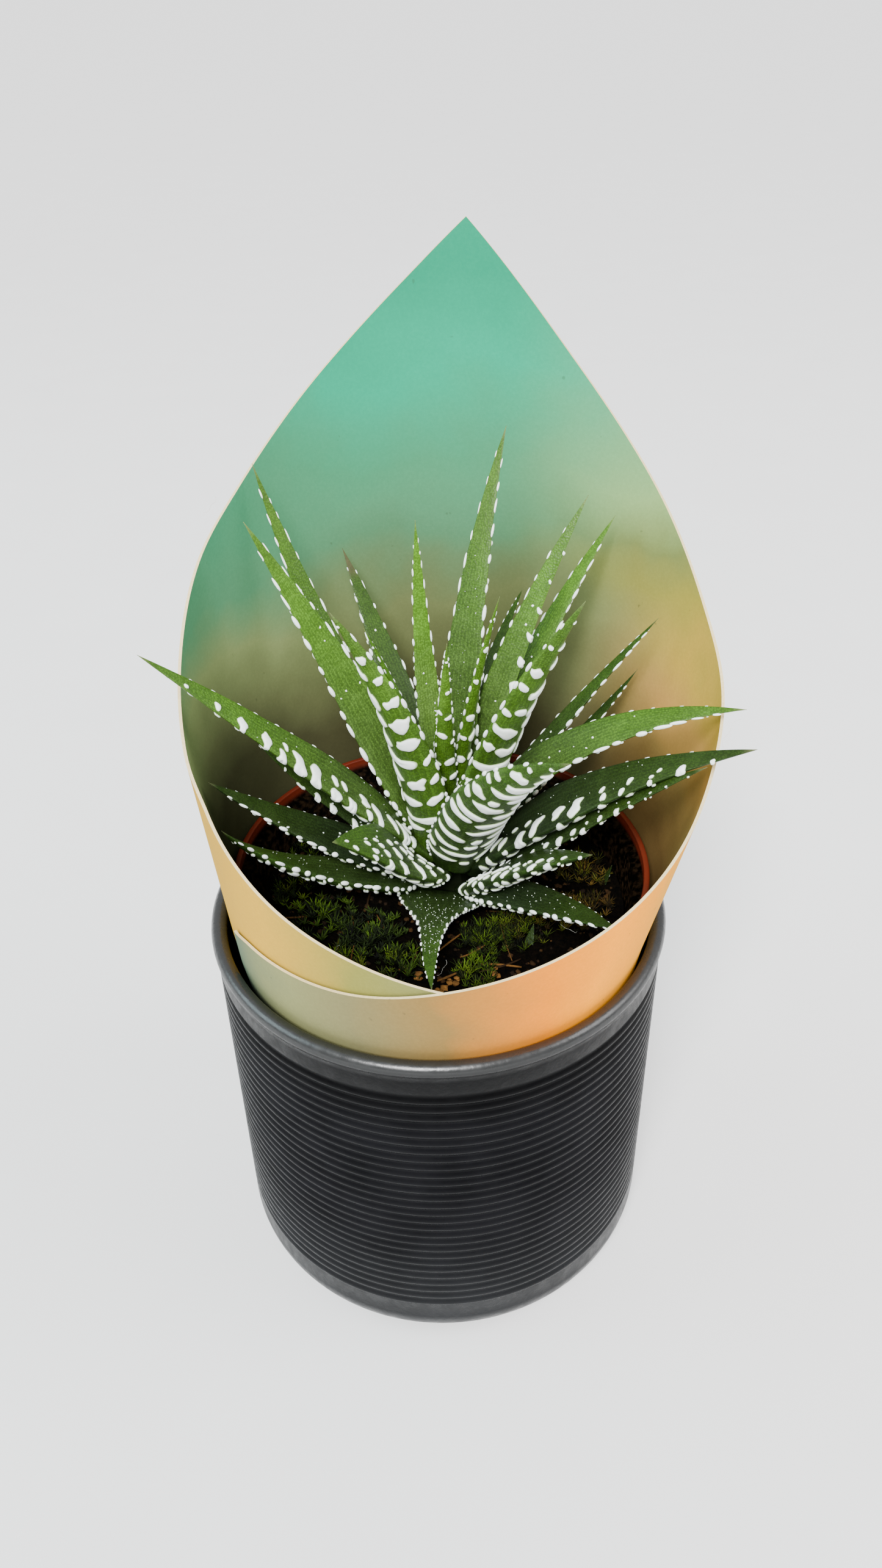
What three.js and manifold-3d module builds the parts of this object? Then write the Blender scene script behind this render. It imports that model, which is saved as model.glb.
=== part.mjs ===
// A zebra haworthia in its nursery pot, wrapped in a printed card sleeve and
// set in a ribbed ceramic pot. Millimetres, +Z up, the origin at the centre of
// the ceramic pot's foot, the photograph's viewer on the -Y side.

import * as THREE from "three";
import { mergeVertices } from "three/addons/utils/BufferGeometryUtils.js";
import Module from "manifold-3d";

const wasm = await Module();
wasm.setup();

// Clearance between neighbouring solids
const GAP = 0.35;
// Room that a leaf leaves round the leaves outside it
const LEAF_GAP = 0.42;

// Ceramic pot
const POT_RADIUS = 50;
const POT_HEIGHT = 93;
const LIP_RADIUS = 1.7;
const POT_WALL_RADIUS = 49.3;
const POT_BORE_RADIUS = 46.4;
const POT_FLOOR = 8;
const POT_FLOOR_CHAMFER = 4;
const POT_THROAT = 2;
const FOOT_RADIUS = 41.5;
const FOOT_ROUNDING_HEIGHT = 8.5;
const RIB_COUNT = 28;
const RIB_PITCH = 2.55;
const RIB_DEPTH = 0.55;
const TOP_RIB_Z = 82.6;
const POT_SIDES = 30;

// Nursery pot
const NURSERY_CENTRE = { x: 0.85, y: -0.2 };
const NURSERY_TOP = 103.6;
const NURSERY_RIM_RADIUS = 44.8;
const NURSERY_RIM_HEIGHT = 3.8;
const NURSERY_RIM_WALL = 1.3;
const NURSERY_NECK_RADIUS = 42.6;
const NURSERY_FOOT_RADIUS = 31;
const NURSERY_WALL = 1.1;
const NURSERY_ROUNDING = 0.4;
const NURSERY_SHOULDER = 1.2;
const NURSERY_BOTTOM = POT_FLOOR + GAP;

// Card sleeve: a cone round the nursery pot, its two wings overlapping in front
const CARD_THICKNESS = 0.6;
const CARD_REFERENCE_Z = 103.2;
const CARD_RADIUS = 47.2;
const CARD_FLARE = 0.155;
const CARD_CENTRE = { x: 1.17, y: -0.53 };
const CARD_LEAN = 0.074;
const CARD_LEAN_FROM_Z = POT_HEIGHT;
const CARD_BOTTOM = 62;
const CARD_WING_STEP = 0.95;
const INNER_WING_FROM = 192;
const INNER_WING_FULL = 205;
const CARD_COLUMN_STEP = 7.25;
// Height of the cut edge at each angle in degrees, round to the peak at the back and
// from the peak to the end of the wing tucked inside
const CARD_EDGE_TO_PEAK = [
  [-154, 102.3], [-143, 105.6], [-112, 108], [-88, 112.3], [-50, 120.3], [-23, 129], [0, 142.5],
  [20, 152.5], [44, 171], [67, 192], [92, 220],
];
const CARD_EDGE_FROM_PEAK = [
  [92, 220], [104, 208], [120, 193.5], [143, 175], [159, 165], [179, 149.5],
  [200, 134.9], [226, 124.2], [250, 116.8], [272, 110.3], [288.5, 105.5],
];

// Soil and plant
const SOIL_LEVEL = 91.5;
const SOIL_RELIEF = 2.2;
const SOIL_SEED = 7;
const SOIL_RINGS = [0, 8, 16, 23, 30, 36, 40];
// Distances from the plant where its mounds begin and where they are full
const MOUNDS_FROM = 11;
const MOUNDS_FULL = 19;
const PLANT = { x: 2.7, y: 5.3 };
const STEM_BOTTOM = 82;
const STEM_TAPER_FROM = 95.5;
const STEM_TOP = 115.5;
const STEM_RADIUS = 4.4;
const STEM_TIP_RADIUS = 1.2;

// Leaves
const STATION_STEP = 2.4;
const BAND_HEIGHT = 0.5;
const TOOTH_HEIGHT = 0.35;
const LEAF_DEPTH = 0.36;
const LEAF_CROWN = 0.07;
const ROLL_FULL_AT = 0.45;
// Where a section's back turns from its shoulders to its keel, as shares of its half
// width and depth
const SHOULDER_ACROSS = 0.62;
const SHOULDER_DOWN = 0.72;
// Share of the leaf's length from which it has bands and teeth
const BANDS_FROM = 0.08;
// Least half width, depth and crown, near the tip
const THINNEST = { half: 0.3, depth: 0.45, crown: 0.2 };

function leafAt(azimuth, rise, length, swing, base, reach, width, roll, clasp) {
  return { azimuth, rise, length, swing, base, reach, width, roll, clasp, root: PLANT };
}

// Every leaf from the outermost to the innermost. azimuth is the direction it leaves
// the stem, in degrees from +X; rise is its slope at the base and at the tip; swing
// turns it sideways along its length; base is its height on the stem; reach is how far
// from the stem's axis it starts; roll turns its face about its own line; clasp is how
// far its base widens round the stem, or narrows if it is below 0.
const LEAVES = [
  leafAt(-101, [19, 10], 43.2, 16, 94.5, 5.3, 6.3, 10, 2.4),
  leafAt(-41.5, [20, 19], 47, -16, 95.5, 5.3, 11.1, 6, -0.45),
  leafAt(-40.5, [44, 29], 40, -1, 96, 5.3, 13.9, 3, -0.35),
  leafAt(195.5, [9, 55], 54.3, 28, 97, 5.3, 12.5, 1, -0.45),
  leafAt(191.5, [28, 42], 54.1, 5, 98, 5.3, 11.7, -15, -0.4),
  leafAt(186.5, [36, 52], 49.9, 1, 102, 4.8, 8.1, -33, -0.25),
  leafAt(-21, [45, 38], 65.4, -8, 95.5, 4.8, 8.8, 33, -0.45),
  leafAt(226, [51, 26], 34.5, -1, 101, 5.5, 16.9, -31, -0.25),
  leafAt(-20, [51, 23], 73, -5, 100, 4.3, 13.7, 22, -0.35),
  leafAt(195, [49, 43], 78, 0, 104, 4.3, 10.4, -30, 0.1),
  leafAt(27, [31, 44], 54, 1, 102, 4.3, 6, 0, 0.2),
  leafAt(-68.5, [64, 32], 71.1, 5, 104, 3.7, 15.4, -33, -0.25),
  leafAt(20, [51, 42], 63, 0, 104.5, 3.7, 6.4, 0, 0.2),
  leafAt(120, [58, 40], 66.5, 0, 106, 3.2, 9.7, -2, -0.25),
  leafAt(165.5, [68, 60], 82.4, 6, 102, 3.2, 10.6, -46, -0.25),
  leafAt(-12.5, [63, 5], 69.4, 2, 107.5, 3.7, 10.6, 31, -0.25),
  leafAt(44, [62, 39], 75, 0, 107.5, 3.2, 8, 10, 0.1),
  leafAt(216, [83, 57], 65.7, 1, 107, 3.2, 14.9, 10, -0.25),
  leafAt(-44.5, [74, 53], 78.2, -14, 107.5, 3.2, 13.4, 1, -0.25),
  leafAt(144, [51, 68], 88, 0, 104.5, 4, 8.5, -15, 0),
  leafAt(65, [72, 16], 57, 2, 108.5, 3.2, 5.6, 0, 0.1),
  leafAt(36, [75, 53], 74, -2, 109.5, 2.7, 8, 35, 0.1),
  leafAt(189, [79, 66], 47, -2, 113.5, 1.8, 6, -7, 0),
  leafAt(70, [87, 50], 84, -4, 109.5, 2.7, 9.6, 0, 0.1),
  leafAt(110, [57, 87], 62, -10, 112.5, 2.1, 6.2, 0, 0),
  leafAt(-40, [84, 72], 56, 0, 113, 1.6, 5.2, 0, 0),
  leafAt(265, [74, 68], 51, 13, 115, 1.4, 4.6, 0, 0),
  leafAt(190, [86, 90], 25, 0, 116, 1.4, 3.4, 0, 0),
];

// Tips of young offsets that come up through the soil: place, direction and slope
const OFFSET_DEPTH = 2.5;
const OFFSET_LENGTH = 9;
const OFFSET_WIDTH = 3;
const OFFSETS = [
  { x: 18, y: -17.5, azimuth: 60, rise: 50 },
  { x: 35, y: 4, azimuth: 20, rise: 55 },
  { x: -14, y: -15, azimuth: 172, rise: 32 },
];

const COLOURS = {
  glaze: { color: 0x2b2f36, roughness: 0.38, metalness: 0 },
  terracotta: { color: 0x8c3a22, roughness: 0.55, metalness: 0 },
  card: { color: 0xc9a56a, roughness: 0.8, metalness: 0 },
  soil: { color: 0x221a12, roughness: 0.95, metalness: 0 },
  stem: { color: 0x6f7a45, roughness: 0.7, metalness: 0 },
  leaf: { color: 0x3f6b26, roughness: 0.5, metalness: 0 },
};

const part = new THREE.Group();

function addMesh(name, geometry, colour) {
  const mesh = new THREE.Mesh(geometry, new THREE.MeshStandardMaterial(colour));
  mesh.name = name;
  part.add(mesh);
  return mesh;
}

function radians(degrees) {
  return (degrees * Math.PI) / 180;
}

// 0 below a, 1 above b, smooth between
function smooth(a, b, value) {
  const t = Math.min(1, Math.max(0, (value - a) / (b - a)));
  return t * t * (3 - 2 * t);
}

// A geometry from points and triangles that index them
function geometryOf(points, triangles) {
  const geometry = new THREE.BufferGeometry();
  geometry.setAttribute("position", new THREE.Float32BufferAttribute(points.flat(), 3));
  geometry.setIndex(triangles.flat());
  return geometry;
}

function solidOf(geometry) {
  const bare = geometry.clone();
  bare.deleteAttribute("normal");
  bare.deleteAttribute("uv");
  const merged = mergeVertices(bare, 1e-4);
  return new wasm.Manifold(
    new wasm.Mesh({
      numProp: 3,
      vertProperties: new Float32Array(merged.attributes.position.array),
      triVerts: new Uint32Array(merged.index.array),
    }),
  );
}

// The largest body of a cut solid, as a geometry
function geometryOfSolid(solid) {
  const bodies = solid.decompose();
  bodies.sort((a, b) => b.volume() - a.volume());
  const mesh = bodies[0].getMesh();
  const geometry = new THREE.BufferGeometry();
  const positions = new Float32Array(mesh.numVert * 3);
  for (let i = 0; i < mesh.numVert; i++)
    for (let k = 0; k < 3; k++)
      positions[3 * i + k] = mesh.vertProperties[i * mesh.numProp + k];
  geometry.setAttribute("position", new THREE.BufferAttribute(positions, 3));
  geometry.setIndex(new THREE.BufferAttribute(new Uint32Array(mesh.triVerts), 1));
  return geometry;
}

// A body of revolution about +Z from [radius, height] points on a closed outline
function turned(outline, sides, centre = { x: 0, y: 0 }) {
  const points = outline.map(([r, z]) => new THREE.Vector2(r, z));
  const geometry = new THREE.LatheGeometry(points, sides);
  geometry.rotateX(Math.PI / 2);
  geometry.translate(centre.x, centre.y, 0);
  return geometry;
}

// Points on a quarter or other arc in the [radius, height] plane
function arc(cx, cz, rx, rz, from, to, steps) {
  const points = [];
  for (let i = 0; i <= steps; i++) {
    const a = radians(from + ((to - from) * i) / steps);
    points.push([cx + rx * Math.cos(a), cz + rz * Math.sin(a)]);
  }
  return points;
}

// Ceramic pot: a nearly straight ribbed wall between a plain foot and a round lip
function potOutline() {
  const outline = [[0, 0]];
  outline.push(...arc(FOOT_RADIUS, FOOT_ROUNDING_HEIGHT, POT_WALL_RADIUS - FOOT_RADIUS,
    FOOT_ROUNDING_HEIGHT, -90, 0, 4));
  for (let i = RIB_COUNT - 1; i >= 0; i--) {
    const crest = TOP_RIB_Z - i * RIB_PITCH;
    outline.push([POT_WALL_RADIUS - RIB_DEPTH, crest - RIB_PITCH / 2]);
    outline.push([POT_WALL_RADIUS, crest]);
  }
  outline.push([POT_WALL_RADIUS - RIB_DEPTH, TOP_RIB_Z + RIB_PITCH / 2]);
  outline.push([POT_WALL_RADIUS, TOP_RIB_Z + RIB_PITCH]);
  const lipCentre = POT_RADIUS - LIP_RADIUS;
  outline.push(...arc(lipCentre, POT_HEIGHT - LIP_RADIUS, LIP_RADIUS, LIP_RADIUS, -40, 180, 5));
  outline.push([POT_BORE_RADIUS, POT_HEIGHT - 2 * LIP_RADIUS - POT_THROAT]);
  outline.push([POT_BORE_RADIUS, POT_FLOOR + POT_FLOOR_CHAMFER]);
  outline.push([POT_BORE_RADIUS - POT_FLOOR_CHAMFER, POT_FLOOR]);
  outline.push([0, POT_FLOOR]);
  return outline;
}
addMesh("ceramic_pot", turned(potOutline(), POT_SIDES), COLOURS.glaze);

// Nursery pot: a tapered thin wall with a wider rim band
function nurseryOuterRadius(z) {
  const neck = NURSERY_TOP - NURSERY_RIM_HEIGHT;
  const along = (z - NURSERY_BOTTOM) / (neck - NURSERY_BOTTOM);
  return NURSERY_FOOT_RADIUS + (NURSERY_NECK_RADIUS - NURSERY_FOOT_RADIUS) * along;
}

function nurseryOutline() {
  const neck = NURSERY_TOP - NURSERY_RIM_HEIGHT;
  const rimInner = NURSERY_RIM_RADIUS - NURSERY_RIM_WALL;
  const floor = NURSERY_BOTTOM + NURSERY_WALL;
  return [
    [0, NURSERY_BOTTOM],
    [NURSERY_FOOT_RADIUS - 1, NURSERY_BOTTOM],
    [NURSERY_FOOT_RADIUS, NURSERY_BOTTOM + 1],
    [NURSERY_NECK_RADIUS, neck],
    [NURSERY_RIM_RADIUS, neck + NURSERY_ROUNDING],
    [NURSERY_RIM_RADIUS, NURSERY_TOP - NURSERY_ROUNDING],
    [NURSERY_RIM_RADIUS - NURSERY_ROUNDING, NURSERY_TOP],
    [rimInner, NURSERY_TOP],
    [rimInner, neck + NURSERY_SHOULDER],
    [NURSERY_NECK_RADIUS - NURSERY_WALL, neck + NURSERY_SHOULDER / 2],
    [nurseryOuterRadius(floor) - NURSERY_WALL, floor],
    [0, floor],
  ];
}
addMesh("nursery_pot", turned(nurseryOutline(), 36, NURSERY_CENTRE), COLOURS.terracotta);

// A smooth curve through [x, y] points with x rising, without overshoot
function through(points, x) {
  let i = 0;
  while (i < points.length - 2 && x > points[i + 1][0]) i++;
  const slope = (k) => (points[k + 1][1] - points[k][1]) / (points[k + 1][0] - points[k][0]);
  const tangent = (k) => {
    if (k === 0) return slope(0);
    if (k === points.length - 1) return slope(k - 1);
    const before = slope(k - 1);
    const after = slope(k);
    return before * after <= 0 ? 0 : (2 * before * after) / (before + after);
  };
  const [x0, y0] = points[i];
  const [x1, y1] = points[i + 1];
  const h = x1 - x0;
  const t = Math.min(1, Math.max(0, (x - x0) / h));
  const lift = t * t * (3 - 2 * t);
  return (
    y0 + (y1 - y0) * lift +
    h * tangent(i) * t * (1 - t) * (1 - t) -
    h * tangent(i + 1) * t * t * (1 - t)
  );
}

// Card sleeve: outer face at each angle and height, with the inner wing stepped inwards
function cardPoint(angle, z, inset) {
  const inner = CARD_WING_STEP * smooth(INNER_WING_FROM, INNER_WING_FULL, angle);
  const radius = CARD_RADIUS + CARD_FLARE * (z - CARD_REFERENCE_Z) - inner - inset;
  const lean = CARD_LEAN * (Math.max(z, CARD_LEAN_FROM_Z) - CARD_REFERENCE_Z);
  return [
    CARD_CENTRE.x + lean + radius * Math.cos(radians(angle)),
    CARD_CENTRE.y + radius * Math.sin(radians(angle)),
    z,
  ];
}

function cardGeometry() {
  const start = CARD_EDGE_TO_PEAK[0][0];
  const peak = CARD_EDGE_FROM_PEAK[0][0];
  const end = CARD_EDGE_FROM_PEAK.at(-1)[0];
  const angles = [];
  const before = Math.round((peak - start) / CARD_COLUMN_STEP);
  const after = Math.round((end - peak) / CARD_COLUMN_STEP);
  for (let i = 0; i < before; i++) angles.push(start + ((peak - start) * i) / before);
  for (let i = 0; i <= after; i++) angles.push(peak + ((end - peak) * i) / after);
  const points = [];
  for (const angle of angles) {
    const top = through(angle < peak ? CARD_EDGE_TO_PEAK : CARD_EDGE_FROM_PEAK, angle);
    const heights = [CARD_BOTTOM, POT_HEIGHT, top];
    for (const z of heights) points.push(cardPoint(angle, z, 0));
    for (const z of heights.toReversed()) points.push(cardPoint(angle, z, CARD_THICKNESS));
  }
  const ring = 6;
  const triangles = [];
  for (let i = 0; i + 1 < angles.length; i++)
    for (let k = 0; k < ring; k++) {
      const a = i * ring + k;
      const b = i * ring + ((k + 1) % ring);
      triangles.push([a, a + ring, b + ring], [a, b + ring, b]);
    }
  const last = (angles.length - 1) * ring;
  for (let k = 1; k + 1 < ring; k++) {
    triangles.push([0, k, k + 1]);
    triangles.push([last, last + k + 1, last + k]);
  }
  return geometryOf(points, triangles);
}
addMesh("card_sleeve", cardGeometry(), COLOURS.card);

// Seeded random numbers for the soil
function randomSource(seed) {
  let state = seed;
  return () => {
    state = (state * 16807) % 2147483647;
    return state / 2147483647;
  };
}

// Soil: fills the nursery pot, with low mounds of moss round the plant
function soilGeometry() {
  const random = randomSource(SOIL_SEED);
  const sides = 24;
  const points = [[NURSERY_CENTRE.x, NURSERY_CENTRE.y, SOIL_LEVEL]];
  const triangles = [];
  SOIL_RINGS.slice(1).forEach((r, ring) => {
    for (let i = 0; i < sides; i++) {
      const a = (2 * Math.PI * i) / sides;
      const x = NURSERY_CENTRE.x + r * Math.cos(a);
      const y = NURSERY_CENTRE.y + r * Math.sin(a);
      const fromPlant = Math.hypot(x - PLANT.x, y - PLANT.y);
      const mound = SOIL_RELIEF * random() * smooth(MOUNDS_FROM, MOUNDS_FULL, fromPlant);
      points.push([x, y, SOIL_LEVEL + mound]);
      const next = (i + 1) % sides;
      const here = 1 + ring * sides;
      if (ring === 0) triangles.push([0, here + i, here + next]);
      else {
        const inside = here - sides;
        triangles.push([inside + i, here + i, here + next]);
        triangles.push([inside + i, here + next, inside + next]);
      }
    }
  });
  const bottom = NURSERY_BOTTOM + NURSERY_WALL + GAP;
  const bottomRadius = nurseryOuterRadius(bottom) - NURSERY_WALL - GAP;
  const edge = 1 + (SOIL_RINGS.length - 2) * sides;
  const foot = points.length;
  for (let i = 0; i < sides; i++) {
    const a = (2 * Math.PI * i) / sides;
    points.push([
      NURSERY_CENTRE.x + bottomRadius * Math.cos(a),
      NURSERY_CENTRE.y + bottomRadius * Math.sin(a),
      bottom,
    ]);
  }
  points.push([NURSERY_CENTRE.x, NURSERY_CENTRE.y, bottom]);
  for (let i = 0; i < sides; i++) {
    const next = (i + 1) % sides;
    triangles.push([edge + i, foot + i, foot + next]);
    triangles.push([edge + i, foot + next, edge + next]);
    triangles.push([foot + sides, foot + next, foot + i]);
  }
  return geometryOf(points, triangles);
}

// Stem: short, in a plain hole in the soil, tapering up into the crown of leaves
function stemGeometry(grow) {
  return turned([
    [0, STEM_BOTTOM - grow],
    [STEM_RADIUS + grow, STEM_BOTTOM - grow],
    [STEM_RADIUS + grow, STEM_TAPER_FROM],
    [STEM_TIP_RADIUS + grow, STEM_TOP + grow],
    [0, STEM_TOP + grow],
  ], 10, PLANT);
}
const stemRoom = solidOf(stemGeometry(GAP));
addMesh("stem", stemGeometry(0), COLOURS.stem);

// Frames along a leaf's line: point, tangent, side and the direction its face looks
function leafFrames(leaf, stations) {
  const fine = 4;
  const steps = stations * fine;
  const start = radians(leaf.azimuth);
  const point = new THREE.Vector3(
    leaf.root.x + leaf.reach * Math.cos(start),
    leaf.root.y + leaf.reach * Math.sin(start),
    leaf.base,
  );
  const frames = [];
  for (let i = 0; i <= steps; i++) {
    const u = i / steps;
    const azimuth = radians(leaf.azimuth + leaf.swing * u);
    const rise = radians(leaf.rise[0] + (leaf.rise[1] - leaf.rise[0]) * u);
    const tangent = new THREE.Vector3(
      Math.cos(rise) * Math.cos(azimuth),
      Math.cos(rise) * Math.sin(azimuth),
      Math.sin(rise),
    );
    if (i % fine === 0) {
      const level = new THREE.Vector3(-Math.sin(azimuth), Math.cos(azimuth), 0);
      const roll = radians(leaf.roll) * smooth(0, ROLL_FULL_AT, u);
      const side = level.clone().applyAxisAngle(tangent, roll);
      const face = tangent.clone().cross(side);
      frames.push({ u, point: point.clone(), tangent, side, face });
    }
    point.addScaledVector(tangent, leaf.length / steps);
  }
  return frames;
}

// Half of a leaf's width as a share of its full half width
function leafTaper(leaf, u) {
  const spread = 0.1 + 0.065 * leaf.clasp;
  return (1 - u) * (1 + 0.9 * u) + leaf.clasp * Math.exp(-((u / spread) ** 2));
}

// One leaf: six points a station, with a low crown on its face, a keel on its back,
// and at every second station a raised white band across the back and a tooth on each
// margin. grow swells it on every side, for the room that its neighbours leave.
function leafGeometry(leaf, grow = 0) {
  const pairs = Math.max(3, Math.round(leaf.length / STATION_STEP / 2));
  const stations = grow > 0 ? Math.round(1.5 * pairs) : 2 * pairs;
  const points = [];
  const triangles = [];
  const frames = leafFrames(leaf, stations);
  const ring = 6;
  frames[0].point.addScaledVector(frames[0].tangent, -grow);
  frames.at(-1).point.addScaledVector(frames.at(-1).tangent, grow);
  for (const { u, point, side, face } of frames.slice(0, -1)) {
    const half = Math.max(THINNEST.half, (leaf.width / 2) * leafTaper(leaf, u));
    const depth = Math.max(THINNEST.depth, leaf.width * LEAF_DEPTH * (1 - u) ** 0.7);
    const crown = Math.max(THINNEST.crown, leaf.width * LEAF_CROWN * (1 - u));
    const index = Math.round(u * stations);
    const banded = (grow > 0 || index % 2 === 1) && u > BANDS_FROM;
    const raised = banded ? Math.min(1, 4 * (1 - u)) : 0;
    const out = half + grow + TOOTH_HEIGHT * raised;
    const back = depth + grow + BAND_HEIGHT * raised;
    const outline = [
      [out, 0],
      [0, crown + grow],
      [-out, 0],
      [-SHOULDER_ACROSS * out, -SHOULDER_DOWN * back],
      [0, -back],
      [SHOULDER_ACROSS * out, -SHOULDER_DOWN * back],
    ];
    for (const [across, up] of outline) {
      const p = point.clone().addScaledVector(side, across).addScaledVector(face, up);
      points.push(p.toArray());
    }
  }
  for (let i = 0; i + 1 < stations; i++)
    for (let k = 0; k < ring; k++) {
      const a = i * ring + k;
      const b = i * ring + ((k + 1) % ring);
      triangles.push([a, b, b + ring], [a, b + ring, a + ring]);
    }
  for (let k = 1; k + 1 < ring; k++) triangles.push([0, k + 1, k]);
  const tip = points.length;
  points.push(frames.at(-1).point.toArray());
  const last = (stations - 1) * ring;
  for (let k = 0; k < ring; k++) triangles.push([last + k, last + ((k + 1) % ring), tip]);
  return geometryOf(points, triangles);
}

// Each leaf gives way to the stem and to the leaves outside it
const taken = [stemRoom];
LEAVES.forEach((leaf, i) => {
  let solid = solidOf(leafGeometry(leaf));
  for (const room of taken) solid = solid.subtract(room);
  taken.push(solidOf(leafGeometry(leaf, LEAF_GAP)));
  const name = "leaf_" + String(i + 1).padStart(2, "0");
  addMesh(name, geometryOfSolid(solid), COLOURS.leaf);
});

// Young offsets: one small leaf tip each, the soil leaving room for it and for the stem
let soil = solidOf(soilGeometry()).subtract(stemRoom);
OFFSETS.forEach(({ x, y, azimuth, rise }, i) => {
  const leaf = {
    root: { x, y },
    azimuth,
    rise: [rise, rise + 15],
    length: OFFSET_LENGTH,
    swing: 0,
    base: SOIL_LEVEL - OFFSET_DEPTH,
    reach: 0,
    width: OFFSET_WIDTH,
    roll: 0,
    clasp: 0,
  };
  soil = soil.subtract(solidOf(leafGeometry(leaf, GAP)));
  addMesh("offset_" + (i + 1), leafGeometry(leaf), COLOURS.leaf);
});
addMesh("soil", geometryOfSolid(soil), COLOURS.soil);

export default part;
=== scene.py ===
import math
from typing import NamedTuple

import bpy
import numpy as np
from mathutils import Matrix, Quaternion, Vector


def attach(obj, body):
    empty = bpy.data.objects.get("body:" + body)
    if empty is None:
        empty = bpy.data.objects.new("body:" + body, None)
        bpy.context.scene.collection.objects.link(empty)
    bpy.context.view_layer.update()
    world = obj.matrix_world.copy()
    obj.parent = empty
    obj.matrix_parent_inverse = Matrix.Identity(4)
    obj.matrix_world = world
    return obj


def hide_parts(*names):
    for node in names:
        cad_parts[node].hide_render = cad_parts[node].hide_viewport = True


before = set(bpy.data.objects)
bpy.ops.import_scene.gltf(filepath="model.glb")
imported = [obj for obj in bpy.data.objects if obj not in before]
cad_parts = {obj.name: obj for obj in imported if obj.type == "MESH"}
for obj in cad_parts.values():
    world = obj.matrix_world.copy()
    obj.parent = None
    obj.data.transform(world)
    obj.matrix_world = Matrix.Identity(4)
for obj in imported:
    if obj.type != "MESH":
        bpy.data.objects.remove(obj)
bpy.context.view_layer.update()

# Shapes are worked out in millimetres and made in metres
MM = 0.001
# Gap between a piece and the one that it stands in
GAP = 0.35
# Radius of the caps that close a turned body on its axis
AXIS_CAP = 0.3
# Range of a random phase, in radians
PHASES = (0, 6.28)
# Corners of the section of a blade or hair
CORNERS = np.radians([90, 210, 330])
# Starting numbers of the random draws
LEAF_SEED = 100
OFFSET_SEED = 200
GROUND_SEED = 5

# Camera, as fitted to the photograph
PHOTO_HEIGHT = 2569
FOCAL_PIXELS = 1930
SENSOR = 36
CAMERA_PLACE = (5.55, -199.25, 264.3)
CAMERA_PITCH = 35.25
CAMERA_YAW = -1.24
CAMERA_ROLL = -1.285

# Ceramic pot
POT_RADIUS = 50
POT_HEIGHT = 93
LIP_RADIUS = 1.7
POT_WALL_RADIUS = 49.3
POT_BORE_RADIUS = 46.4
POT_FLOOR = 8
POT_FLOOR_CHAMFER = 4
POT_THROAT = 2
POT_SIDES = 144
FOOT_RADIUS = 41.5
FOOT_ROUNDING_HEIGHT = 8.5
RIB_COUNT = 28
RIB_PITCH = 2.55
RIB_DEPTH = 0.55
RIB_POINTS = 7
TOP_RIB_Z = 82.6

# Nursery pot
NURSERY_CENTRE = (0.85, -0.2)
NURSERY_TOP = 103.6
NURSERY_RIM_RADIUS = 44.8
NURSERY_RIM_HEIGHT = 3.8
NURSERY_RIM_WALL = 1.3
NURSERY_NECK_RADIUS = 42.6
NURSERY_FOOT_RADIUS = 31
NURSERY_WALL = 1.1
NURSERY_BOTTOM = POT_FLOOR + GAP
NURSERY_SIDES = 120

# Card sleeve: a cone whose two wings overlap in front
CARD_THICKNESS = 0.6
CARD_REFERENCE_Z = 103.2
CARD_RADIUS = 47.2
CARD_FLARE = 0.155
CARD_CENTRE = (1.17, -0.53)
CARD_LEAN = 0.074
CARD_BOTTOM = 62
CARD_WING_STEP = 0.95
INNER_WING_FROM = 192
INNER_WING_FULL = 205
CARD_ROWS = 46
CARD_COLUMNS = (150, 130)
# Height of the cut edge at each angle in degrees, round to the peak and on from it
CARD_EDGE_TO_PEAK = (
    (-154, 102.3), (-143, 105.6), (-112, 108), (-88, 112.3), (-50, 120.3), (-23, 129),
    (0, 142.5), (20, 152.5), (44, 171), (67, 192), (92, 220),
)
CARD_EDGE_FROM_PEAK = (
    (92, 220), (104, 208), (120, 193.5), (143, 175), (159, 165), (179, 149.5),
    (200, 134.9), (226, 124.2), (250, 116.8), (272, 110.3), (288.5, 105.5),
)

# Soil and plant
SOIL_LEVEL = 91.5
SOIL_RELIEF = 2.2
SOIL_RADIUS = 40
SOIL_SIDES = 200
SOIL_CIRCLES = 84
SOIL_GRAIN = 0.22
MOUND_COUNT = 60
# Square of a mound's breadth, and the distances from the plant where mounds begin and are full
MOUND_BREADTH = 30
MOUNDS_FROM = 9
MOUNDS_FULL = 18
# How far from the middle moss and crumbs may lie
CLEAR_OF_POT = SOIL_RADIUS - 1.5
CRUMB_COUNT = 680
TWIG_COUNT = 26
SPLINTERS = 5
CHIP_PLACES = ((-4, -26.5), (1, -29.3), (-6.5, -24.5), (3.5, -27), (12, -24))
PLANT = (2.7, 5.3)
OFFSET_DEPTH = 2.5
OFFSET_LENGTH = 9
OFFSET_WIDTH = 3

# Depth of a leaf's back and rise of its face, as shares of its width
LEAF_DEPTH = 0.36
LEAF_CROWN = 0.07
LEAF_SIDES = 36
# Places along a leaf from 0 to 1, closer together at the tip
LEAF_STATIONS = np.concatenate([np.linspace(0, 0.96, 96), np.linspace(0.965, 0.999, 8)])


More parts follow.
